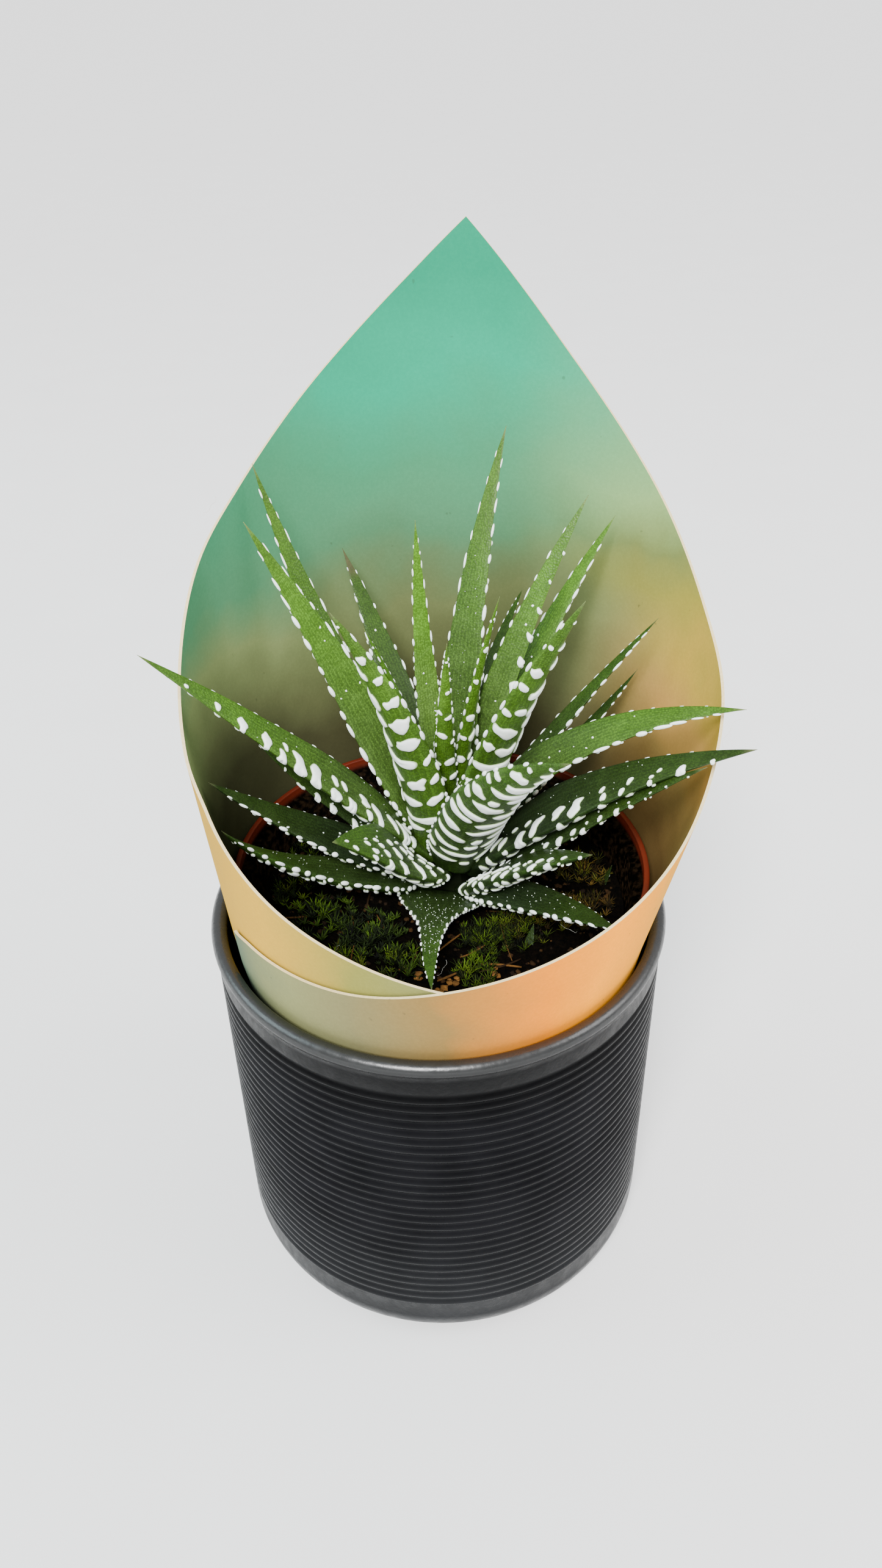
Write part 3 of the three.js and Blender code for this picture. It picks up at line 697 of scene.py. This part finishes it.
def card_sleeve(*papers):
    """The cone's inner face, outer face and border, each in its own paper."""
    start = CARD_EDGE_TO_PEAK[0][0]
    peak = CARD_EDGE_FROM_PEAK[0][0]
    end = CARD_EDGE_FROM_PEAK[-1][0]
    turns = np.concatenate([np.linspace(start, peak, CARD_COLUMNS[0]),
                            np.linspace(peak, end, CARD_COLUMNS[1])[1:]])
    to_peak = through(CARD_EDGE_TO_PEAK, turns)
    from_peak = through(CARD_EDGE_FROM_PEAK, turns)
    top = np.where(turns <= peak, to_peak, from_peak)
    share = np.linspace(0, 1, CARD_ROWS)
    z = CARD_BOTTOM + (top - CARD_BOTTOM) * share[:, None]
    turn = np.broadcast_to(turns, z.shape)
    height = (z - NURSERY_TOP) / (top.max() - NURSERY_TOP)
    values = {"turn": (turn - start) / (end - start), "height": height}
    outside = card_face(turn, z, 0)
    inside = card_face(turn, z, CARD_THICKNESS)
    sculpt = Sculpt()
    sculpt.add_rings(outside, 1, closed=False, caps=False, **values)
    flipped = {name: value[:, ::-1] for name, value in values.items()}
    sculpt.add_rings(inside[:, ::-1], 0, closed=False, caps=False, **flipped)
    borders = [(outside[-1], inside[-1]), (inside[0], outside[0])]
    borders += [(inside[:, 0], outside[:, 0]), (outside[:, -1], inside[:, -1])]
    for near, far in borders:
        sculpt.add_rings(np.stack([near, far]), 2, closed=False, caps=False)
    sculpt.piece("card_sleeve_printed", papers, "card", "card_sleeve")


# Leaves
class LeafShape:
    """A leaf's skin: any point on it, from its line and its section."""

    STEPS = 240
    STRIP_POINTS = 41

    def __init__(self, leaf, random):
        self.leaf = leaf
        u = np.linspace(0, 1, self.STEPS + 1)
        azimuth = np.radians(leaf.azimuth + leaf.swing * u)
        rise = np.radians(leaf.rise[0] + (leaf.rise[1] - leaf.rise[0]) * u)
        flat = np.cos(rise)
        tangent = np.stack([flat * np.cos(azimuth), flat * np.sin(azimuth), np.sin(rise)], -1)
        step = (tangent[1:] + tangent[:-1]) / 2 * leaf.length / self.STEPS
        start = math.radians(leaf.azimuth)
        outwards = leaf.reach * np.array([math.cos(start), math.sin(start)])
        line = np.array([*(leaf.root + outwards), leaf.base])
        line = line + np.concatenate([np.zeros((1, 3)), np.cumsum(step, 0)])
        level = np.stack([-np.sin(azimuth), np.cos(azimuth), np.zeros_like(u)], -1)
        roll = np.radians(leaf.roll) * smooth(0, 0.45, u)[:, None]
        side = level * np.cos(roll) + np.cross(tangent, level) * np.sin(roll)
        self.u = u
        self.frames = np.concatenate([line, side, np.cross(tangent, side), tangent], 1)
        self.phase = random.uniform(*PHASES, 4)

    def frame(self, u):
        """Point, side, face and tangent at each u."""
        rows = [np.interp(u, self.u, column) for column in self.frames.T]
        return np.split(np.stack(rows, -1), 4, -1)

    def half_width(self, u):
        clasp = self.leaf.clasp
        taper = (1 - u) * (1 + 0.9 * u) + clasp * np.exp(-((u / (0.1 + 0.065 * clasp)) ** 2))
        waver = 1 + 0.025 * np.sin(9 * u + self.phase[0]) + 0.015 * np.sin(23 * u + self.phase[1])
        return np.maximum(0.05, self.leaf.width / 2 * taper * waver)

    def at(self, u, angle):
        """Points at angles from the left margin (0) over the face (90) to the keel (270)."""
        u, angle = np.broadcast_arrays(u, np.radians(angle))
        point, side, face, _ = self.frame(np.clip(u, 0, 1))
        left = np.clip(1 - u, 0, 1)
        back = np.maximum(0.05, self.leaf.width * LEAF_DEPTH * left**0.7)
        crown = self.leaf.width * LEAF_CROWN * left
        across = self.half_width(u) * np.cos(angle)
        bulge = 0.82 * np.abs(np.sin(angle)) + 0.18 * (1 - np.abs(np.cos(angle)))
        hollow = 1 - 0.9 * np.abs(np.sin(angle)) ** 6 * smooth(0.75, 0.2, u)
        up = np.where(np.sin(angle) > 0, crown * np.sin(angle) * hollow, -back * bulge)
        return point + side * across[..., None] + face * up[..., None]

    def skin(self, u, angle):
        """Points and outward directions."""
        points = self.at(u, angle)
        along = self.at(np.minimum(u + 0.004, 1), angle) - self.at(np.maximum(u - 0.004, 0), angle)
        around = self.at(u, angle + 2) - self.at(u, angle - 2)
        return points, unit(np.cross(around, along))

    def strip(self, u, start, end):
        """Angles across a strip of the skin, with the distance of each from its middle in mm."""
        angles = np.linspace(start, end, self.STRIP_POINTS)
        points = self.at(np.full(self.STRIP_POINTS, u), angles)
        run = np.concatenate([[0], np.cumsum(np.linalg.norm(np.diff(points, axis=0), axis=1))])
        return angles, run - run[-1] / 2


# Spread and height of a raised spot, from its middle to its sunk edge
SPOT_RINGS = np.array([0.02, 0.4, 0.72, 0.91, 1.0, 1.04])
SPOT_HEIGHTS = np.array([1.0, 0.97, 0.84, 0.55, 0.1, -0.25])
# Lobes of its uneven outline: how many, and the most that they stand out
SPOT_LOBES = ((2, 0.16), (3, 0.14), (5, 0.08))
# Half lengths in mm up to which a spot is a dot, and from which a bar has lumps
SMALL_SPOT = 0.3
LONG_BAR = 1.3


def spot_outline(size, random):
    """A rounded, uneven outline of the half extents in size."""
    turn = circle(9 if size[0] < SMALL_SPOT else 24 if size[0] > LONG_BAR else 14)
    ragged = np.ones(len(turn))
    for lobes, depth in SPOT_LOBES:
        ragged += random.uniform(0, depth) * np.sin(lobes * turn + random.uniform(*PHASES))
    waves = (np.cos(turn), np.sin(turn))
    return [half * np.sign(w) * np.abs(w) ** 0.85 * ragged for half, w in zip(size, waves)]


def add_spot(sculpt, shape, u, strip, across, size, height, random):
    """A raised white spot or bar. size is its half extent across and along the leaf in mm."""
    a, b = spot_outline(size, random)
    a = across + SPOT_RINGS[:, None] * a
    angles, reach = strip
    if size[0] > LONG_BAR:
        b = b * (1 + 0.25 * np.sin(4.2 * a / size[0] + random.uniform(*PHASES)))
    bend = 0.35 / max(reach[-1], 1)
    b = SPOT_RINGS[:, None] * b + bend * a**2
    points, outward = shape.skin(u + b / shape.leaf.length, np.interp(a, reach, angles))
    rings = points + outward * (SPOT_HEIGHTS[:, None] * height)[..., None]
    if angles[0] > angles[-1]:
        rings = rings[:, ::-1]
    rim = np.broadcast_to(smooth(0.9, 1.0, SPOT_RINGS)[:, None], a.shape)
    sculpt.add_rings(rings[::-1], 1, caps=False, rim=rim[::-1], along=np.full(a.shape, u))
    sculpt.add(rings[0], [list(range(a.shape[1]))], 1, along=u)


def row_of_spots(reach, bar, random):
    """Middles and half lengths of a row of white that spans from -reach to reach."""
    fill = 0.7 + 0.14 * smooth(1.5, 4.0, reach)
    count = max(1, round(2 * reach / (bar * random.uniform(0.7, 1.3))))
    if count == 1 and reach < 2.6:
        return [(random.uniform(-0.4, 0.4) * reach, min(0.5 * fill * reach + 0.1, 0.6 * reach))]
    cuts = 2 * reach * np.concatenate([[0], np.cumsum(random.dirichlet([3.5] * count))]) - reach
    return [((a + b) / 2, fill * (b - a) / 2) for a, b in zip(cuts, cuts[1:])]


def row_pitch(leaf, u):
    """Distance from one row to the next: close at the base, wider from there on."""
    return leaf.pitch * (0.68 + 0.32 * smooth(0.05, 0.28, u) + 0.35 * smooth(0.25, 0.75, u))


def add_bands(sculpt, shape, random):
    """Rows of white over the banded strip: bars low down, breaking up into spots."""
    leaf = shape.leaf
    s = 0.5 * leaf.pitch + 0.05 * leaf.length
    while s < 0.95 * leaf.length:
        u = s / leaf.length
        pitch = row_pitch(leaf, u)
        strip = shape.strip(u, *leaf.banded)
        reach = strip[1][-1]
        thick = leaf.stout * pitch * (0.16 + 0.08 * smooth(0.1, 0.35, u))
        thick *= 0.5 + 0.5 * smooth(0.2, 1.5, reach)
        height = 0.2 + 0.26 * smooth(0.6, 3.5, reach)
        bar = leaf.bar * (1 - 0.45 * smooth(0.35, 0.8, u))
        for middle, half in row_of_spots(reach, bar, random):
            shift = random.uniform(-0.2, 0.2) * pitch
            half *= 1 - 0.35 * smooth(0.6, 0.95, u)
            size = (max(half, 0.18), min(thick, 0.65 * half + 0.2) * random.uniform(0.8, 1.15))
            add_spot(sculpt, shape, u + shift / leaf.length, strip, middle, size, height, random)
        s += pitch * random.uniform(0.92, 1.08)


# Corners round a tooth, and its rings from its foot to its tip
TOOTH_CORNERS = circle(8)[None, :, None]
TOOTH_RINGS = np.radians([-80, -50, -20, 10, 40, 65, 84])[:, None, None]
# Degrees past a margin from which a row of spots crosses it
PAST_MARGIN = 4


def tooth(shape, u, margin, hand, length, size):
    """Rings of a long drop along the margin. hand is 1 on the left and -1 on the right."""
    side, face, tangent = (v[0] for v in shape.frame(np.array([u]))[1:])
    out = unit(hand * side + 0.12 * tangent)
    middle = shape.at(np.array([u]), margin)[0] + out * 0.05 - face * 0.1
    ring = np.cos(TOOTH_CORNERS) * out + 1.15 * np.sin(TOOTH_CORNERS) * face
    rings = middle + np.cos(TOOTH_RINGS) * size * ring + np.sin(TOOTH_RINGS) * length * tangent
    return rings[:, ::hand]


def add_teeth(sculpt, shape, random):
    """White teeth along the margins that no row of spots crosses, crowded low down."""
    leaf = shape.leaf
    step_above = 0.062 * leaf.length
    crossed = (leaf.banded[1] > 360 + PAST_MARGIN, leaf.banded[0] < 180 - PAST_MARGIN)
    for scale, across_it, margin, hand in zip(leaf.teeth, crossed, (0, 180), (1, -1)):
        if across_it:
            continue
        s = random.uniform(0.8, 1.8)
        while s < 0.93 * leaf.length:
            u = s / leaf.length
            half = shape.half_width(u)
            step = 1.5 + (step_above - 1.5) * smooth(0.02, 0.4, u)
            step *= 0.55 + 0.45 * smooth(0.2, 1.6, half)
            length = scale * step * random.uniform(0.16, 0.34)
            size = scale * (0.16 + 0.22 * smooth(0.4, 3.5, half)) * random.uniform(0.7, 1.2)
            rings = tooth(shape, u, margin, hand, length, size)
            sculpt.add_rings(rings, 1, along=np.full(rings.shape[:2], u))
            s += step * random.uniform(0.7, 1.3)


def add_face_dots(sculpt, shape, random):
    """Small pale spots on the smooth face, finer where there are many."""
    leaf = shape.leaf
    radii = (0.04, 0.1) if leaf.dots > 12 else (0.1, 0.3)
    for _ in range(leaf.dots):
        u = random.uniform(0.03, 0.7)
        strip = shape.strip(u, 165, 15)
        across = random.uniform(-0.8, 0.8) * strip[1][-1]
        radius = random.uniform(*radii)
        add_spot(sculpt, shape, u, strip, across, (radius, radius), 0.12, random)


def leaf_piece(node, leaf, random, skin, white):
    """One leaf or offset: its skin, and its bands, teeth and dots of white."""
    shape = LeafShape(leaf, random)
    around = np.arange(LEAF_SIDES) * 360 / LEAF_SIDES
    angle = around + 5 * np.sin(np.radians(2 * around))
    grid_u, grid_angle = np.meshgrid(LEAF_STATIONS, angle, indexing="ij")
    rings = shape.at(grid_u, grid_angle)
    face = smooth(-0.25, 0.25, np.sin(np.radians(grid_angle)))
    tone = np.full(grid_u.shape, leaf.tone)
    dry = smooth(1 - leaf.dry - 0.03, 1 - leaf.dry + 0.03, grid_u) if leaf.dry else 0 * grid_u
    sculpt = Sculpt()
    across = np.cos(np.radians(grid_angle))
    sculpt.add_rings(rings, 0, along=grid_u, across=across, face=face, tone=tone, dry=dry)
    add_bands(sculpt, shape, random)
    if leaf.width > OFFSET_WIDTH:
        add_teeth(sculpt, shape, random)
    add_face_dots(sculpt, shape, random)
    sculpt.piece(f"{node}_skin", [skin, white], "leaf", node)


def leaves(skin, white):
    for i, leaf in enumerate(LEAVES, 1):
        leaf_piece(f"leaf_{i:02d}", leaf, np.random.default_rng(LEAF_SEED + i), skin, white)
    for i, (x, y, azimuth, rise) in enumerate(OFFSETS, 1):
        leaf = Leaf(azimuth, (rise, rise + 15), OFFSET_LENGTH, 0, SOIL_LEVEL - OFFSET_DEPTH, 0,
                    OFFSET_WIDTH, 0, 0, 0, pitch=2.4, dots=0, root=(x, y))
        leaf_piece(f"offset_{i}", leaf, np.random.default_rng(OFFSET_SEED + i), skin, white)


# Soil, moss and litter
class Ground:
    """The soil's top: low mounds away from the stem."""

    def __init__(self, random):
        self.random = random
        spread = SOIL_RADIUS * np.sqrt(random.random(MOUND_COUNT))
        turn = random.uniform(0, 2 * np.pi, MOUND_COUNT)
        self.middles = np.stack([spread * np.cos(turn), spread * np.sin(turn)], -1)
        self.heights = random.uniform(-0.5, 1.0, MOUND_COUNT)

    def height(self, x, y):
        x, y = np.asarray(x, float), np.asarray(y, float)
        dx = x[..., None] - NURSERY_CENTRE[0] - self.middles[:, 0]
        dy = y[..., None] - NURSERY_CENTRE[1] - self.middles[:, 1]
        mounds = (self.heights * np.exp(-(dx**2 + dy**2) / MOUND_BREADTH)).sum(-1)
        from_plant = np.hypot(x - PLANT[0], y - PLANT[1])
        lift = np.clip(0.5 * SOIL_RELIEF + mounds, 0, SOIL_RELIEF)
        return SOIL_LEVEL + lift * smooth(MOUNDS_FROM, MOUNDS_FULL, from_plant)


def soil(ground, peat_finish):
    """Crumbly peat that fills the nursery pot, down to its floor."""
    radius = np.concatenate([[0.2], np.linspace(1, SOIL_RADIUS, SOIL_CIRCLES)])
    around = circle(SOIL_SIDES)
    top = level_rings(NURSERY_CENTRE, radius[:, None], 0.0, around)
    crumbs = ground.random.uniform(-SOIL_GRAIN, SOIL_GRAIN, top.shape[:2])
    top[..., 2] = ground.height(top[..., 0], top[..., 1]) + crumbs
    bottom = NURSERY_BOTTOM + NURSERY_WALL + GAP
    low_radius = nursery_radius(bottom) - NURSERY_WALL - GAP
    foot = level_rings(NURSERY_CENTRE, np.array([[0.2], [low_radius]]), bottom, around)
    sculpt = Sculpt()
    sculpt.add_rings(np.concatenate([foot, top[::-1]]))
    sculpt.piece("soil_peat", [peat_finish], "soil", "soil", flat=True)


# Clumps of moss: place, radius, how golden, tufts, and thickness of a blade
MOSS = (
    (-14, -13, 8, 0.05, 90, 0.3), (-24, -8, 7, 0.15, 70, 0.28), (10, -14, 6, 0.3, 100, 0.15),
    (17, -11, 7, 0.55, 90, 0.16), (27, -6, 7, 0.8, 80, 0.17), (33, 8, 6, 0.8, 60, 0.2),
    (-31, 2, 6, 0.4, 50, 0.25), (-6, -22, 6, 0.3, 60, 0.22), (-28, 16, 7, 0.3, 50, 0.2),
    (22, 25, 8, 0.5, 50, 0.2), (-10, 30, 8, 0.3, 50, 0.2), (8, -24, 5, 0.4, 50, 0.17),
    (-19, -21, 5, 0.5, 40, 0.2), (34, -4, 4, 0.85, 40, 0.17),
)
BLADES = 8
# Places along a blade, and its thickness at each
BLADE_STATIONS = np.array([0, 0.4, 0.75, 1.0])
BLADE_TAPER = np.array([0.8, 1, 0.6, 0.08])


def scattered(random, x, y, radius):
    """A random place in a circle, and its distance from the middle."""
    spread = radius * math.sqrt(random.random())
    turn = random.uniform(0, 2 * math.pi)
    return x + spread * math.cos(turn), y + spread * math.sin(turn), spread


def add_tuft(sculpt, random, root, tall, light, gold, breadth):
    """Curved blades that spread from one point, three sides to a blade."""
    share = BLADE_STATIONS
    section = np.stack([np.cos(CORNERS), np.sin(CORNERS), np.zeros(3)], -1)
    for blade in range(BLADES):
        way = 2 * math.pi * (blade + random.uniform(-0.3, 0.3)) / BLADES
        length = tall * random.uniform(0.7, 1.1)
        out = length * random.uniform(0.25, 0.95) * share**1.6
        line = root + np.stack([out * math.cos(way), out * math.sin(way), length * share], -1)
        thick = breadth * random.uniform(0.8, 1.2) * BLADE_TAPER
        rings = line[:, None] + thick[:, None, None] * section
        # tone is painted shade: darkest at the blade's foot, scaled by a random brightness per
        # tuft.
        tone = share[:, None] * light * random.uniform(0.6, 1) * np.ones(3)
        sculpt.add_rings(rings, tone=tone, gold=np.full(tone.shape, gold))


def moss(ground, green):
    """Clumps of tufts, lower towards the edge of each."""
    random = ground.random
    sculpt = Sculpt()
    for x, y, radius, gold, count, breadth in MOSS:
        for _ in range(count):
            tx, ty, spread = scattered(random, x, y, radius)
            if math.hypot(tx - NURSERY_CENTRE[0], ty - NURSERY_CENTRE[1]) > CLEAR_OF_POT:
                continue
            root = np.array([tx, ty, ground.height(tx, ty) - 0.3])
            tall = random.uniform(1.6, 3.6) * (1.15 - 0.5 * spread / radius)
            light = 1.5 * random.uniform(0.2, 1) ** 3
            yellow = min(1, max(0, gold + random.uniform(-0.2, 0.2)))
            add_tuft(sculpt, random, root, tall, light, yellow, breadth)
    sculpt.piece("moss_tufts", [green], "soil")


def add_lump(sculpt, random, centre, radius, tone, squash=0.7):
    """A small ragged crumb."""
    turn = circle(7)
    swell = np.radians([-75, -35, 5, 40, 72])
    ragged = random.uniform(0.6, 1.3, (5, 7))
    flat = np.cos(swell)[:, None] * ragged * radius
    up = np.sin(swell)[:, None] * ragged * radius * squash
    rings = centre + np.stack([flat * np.cos(turn), flat * np.sin(turn), up], -1)
    sculpt.add_rings(rings, tone=np.full(up.shape, tone))


def add_crumbs(sculpt, ground):
    random = ground.random
    for _ in range(CRUMB_COUNT):
        x, y, _ = scattered(random, *NURSERY_CENTRE, CLEAR_OF_POT)
        radius = random.uniform(0.25, 0.8) ** 1.3
        centre = np.array([x, y, ground.height(x, y) + 0.2 * radius])
        add_lump(sculpt, random, centre, radius, random.uniform(0, 0.35) ** 1.5)


def add_chips(sculpt, ground):
    """A few pale chips, each a heap of splinters."""
    random = ground.random
    for x, y in CHIP_PLACES:
        for _ in range(SPLINTERS):
            radius = random.uniform(0.4, 1)
            near = np.array([x, y]) + random.uniform(-0.9, 0.9, 2)
            centre = np.array([*near, ground.height(*near) + random.uniform(0.2, 1)])
            add_lump(sculpt, random, centre, radius, random.uniform(0.5, 1), 0.4)


def add_twigs(sculpt, ground):
    """Thin bent twigs that lie on the soil, thickest in the middle."""
    random = ground.random
    around = circle(6)
    share = np.linspace(-0.5, 0.5, 9)
    for _ in range(TWIG_COUNT):
        spread = random.uniform(12, SOIL_RADIUS - 9)
        turn = random.uniform(0, 2 * math.pi)
        heading = random.uniform(0, 2 * math.pi)
        length = random.uniform(4, 12)
        curve = random.uniform(-2.5, 2.5) * share**2
        x = NURSERY_CENTRE[0] + spread * math.cos(turn) + length * share * math.cos(heading)
        y = NURSERY_CENTRE[1] + spread * math.sin(turn) + length * share * math.sin(heading)
        x = x - curve * math.sin(heading)
        y = y + curve * math.cos(heading)
        z = ground.height(x, y) + random.uniform(0.2, 0.9) + share * random.uniform(-1.5, 1.5)
        thick = random.uniform(0.12, 0.3) * (1 - 0.6 * np.abs(share))
        line = np.stack([x, y, z], -1)
        side = np.array([-math.sin(heading), math.cos(heading), 0])
        rings = line[:, None] + thick[:, None, None] * (
            np.cos(around)[:, None] * side + np.sin(around)[:, None] * np.array([0, 0, 1]))
        sculpt.add_rings(rings, tone=np.full(rings.shape[:2], random.uniform(0, 0.7)))


def litter(ground, bark_finish):
    sculpt = Sculpt()
    add_crumbs(sculpt, ground)
    add_chips(sculpt, ground)
    add_twigs(sculpt, ground)
    sculpt.piece("soil_litter", [bark_finish], "soil")


HAIR_RADIUS = 0.025
# Stray hairs, from one end to the other, and how far each bows
HAIRS = (
    ((54, -17, 143), (57, -15, 148), 1), ((17, -1, 98), (19, -3.5, 94.5), 0.8),
    ((-39.5, 9, 183), (-42, 8, 180), 0.7), ((26, -14, 97), (29, -18, 98.5), -0.8),
    ((0, -26, 94), (2, -25, 97.5), -0.6), ((-21, -18, 93), (-20, -20, 97), 0.5),
)


def hairs(fibre):
    """Fine pale hairs caught on the leaves, the soil and the card's edge."""
    sculpt = Sculpt()
    share = np.linspace(0, 1, 14)[:, None]
    section = HAIR_RADIUS * np.stack([np.cos(CORNERS), 0 * CORNERS, np.sin(CORNERS)], -1)
    for start, end, bow in HAIRS:
        start, end = np.array(start, float), np.array(end, float)
        side = unit(np.cross(end - start, (0, 1, 0)))
        line = start + (end - start) * share + side * bow * np.sin(math.pi * share)
        line = line + side * 0.4 * bow * np.sin(3 * math.pi * share)
        sculpt.add_rings(line[:, None] + section)
    sculpt.piece("fine_hairs", [fibre], "leaf")


# Camera, floor and lights. Places of the floor and the lights are in metres.
FLOOR_HALF = 60
LIGHT_TARGET = (0, 0, 0.12)


def add_camera():
    data = bpy.data.cameras.new("camera")
    data.sensor_width = SENSOR
    data.lens = SENSOR * FOCAL_PIXELS / PHOTO_HEIGHT
    data.clip_start = 0.01
    camera = in_scene("camera", data)
    pitch = math.radians(CAMERA_PITCH)
    yaw = math.radians(CAMERA_YAW)
    forward = Vector((math.sin(yaw) * math.cos(pitch), math.cos(yaw) * math.cos(pitch),
                      -math.sin(pitch)))
    roll = Quaternion((0, 0, 1), math.radians(CAMERA_ROLL))
    camera.rotation_mode = "QUATERNION"
    camera.rotation_quaternion = (-forward).to_track_quat("Z", "Y") @ roll
    camera.location = Vector(CAMERA_PLACE) * MM
    bpy.context.scene.camera = camera


def add_floor():
    half = FLOOR_HALF
    mesh = bpy.data.meshes.new("floor")
    corners = [(-half, -half, 0), (half, -half, 0), (half, half, 0), (-half, half, 0)]
    mesh.from_pydata(corners, [], [(0, 1, 2, 3)])
    finish = Finish("floor_pale", 0.6, 0.3)
    finish.colour(finish.mix(finish.noise(40), (0.78, 0.78, 0.775), (0.82, 0.82, 0.815)))
    mesh.materials.append(finish.material)
    in_scene("floor", mesh)


def add_light(name, kind, place_at, strength, size, colour=(1, 1, 1)):
    """A lamp turned to the plant. size is a sun's angle in radians, or a disc's breadth in m."""
    data = bpy.data.lights.new(name, kind)
    data.energy = strength
    data.color = colour
    if kind == "SUN":
        data.angle = size
    else:
        data.shape = "DISK"
        data.size = size
    light = in_scene(name, data)
    light.location = place_at
    light.rotation_mode = "QUATERNION"
    light.rotation_quaternion = (light.location - Vector(LIGHT_TARGET)).to_track_quat("Z", "Y")


def add_lights():
    world = bpy.data.worlds.new("studio")
    world.use_nodes = True
    sky = world.node_tree.nodes["Background"]
    sky.inputs["Color"].default_value = (0.97, 0.98, 1, 1)
    sky.inputs["Strength"].default_value = 0.85
    bpy.context.scene.world = world
    add_light("key", "SUN", (-0.15, -0.75, 0.97), 7.6, math.radians(24))
    add_light("right", "AREA", (0.75, -0.1, 0.7), 6, 0.65)
    add_light("left", "AREA", (-0.8, -0.05, 0.6), 5, 0.65, (0.72, 0.94, 1))


add_camera()
add_floor()
add_lights()
ceramic_pot(pot_glaze())
nursery_pot(nursery_plastic())
card_sleeve(paper("card_inside", inner_print), paper("card_outside", outer_print),
            paper("card_edge", edge_colour))
leaves(leaf_skin(), tubercle_white())
ground = Ground(np.random.default_rng(GROUND_SEED))
soil(ground, peat())
moss(ground, moss_green())
litter(ground, bark())
hairs(hair_fibre())
# The stem's own solid stays in view, in a new material
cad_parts["stem"].data.materials[0] = stem_green()
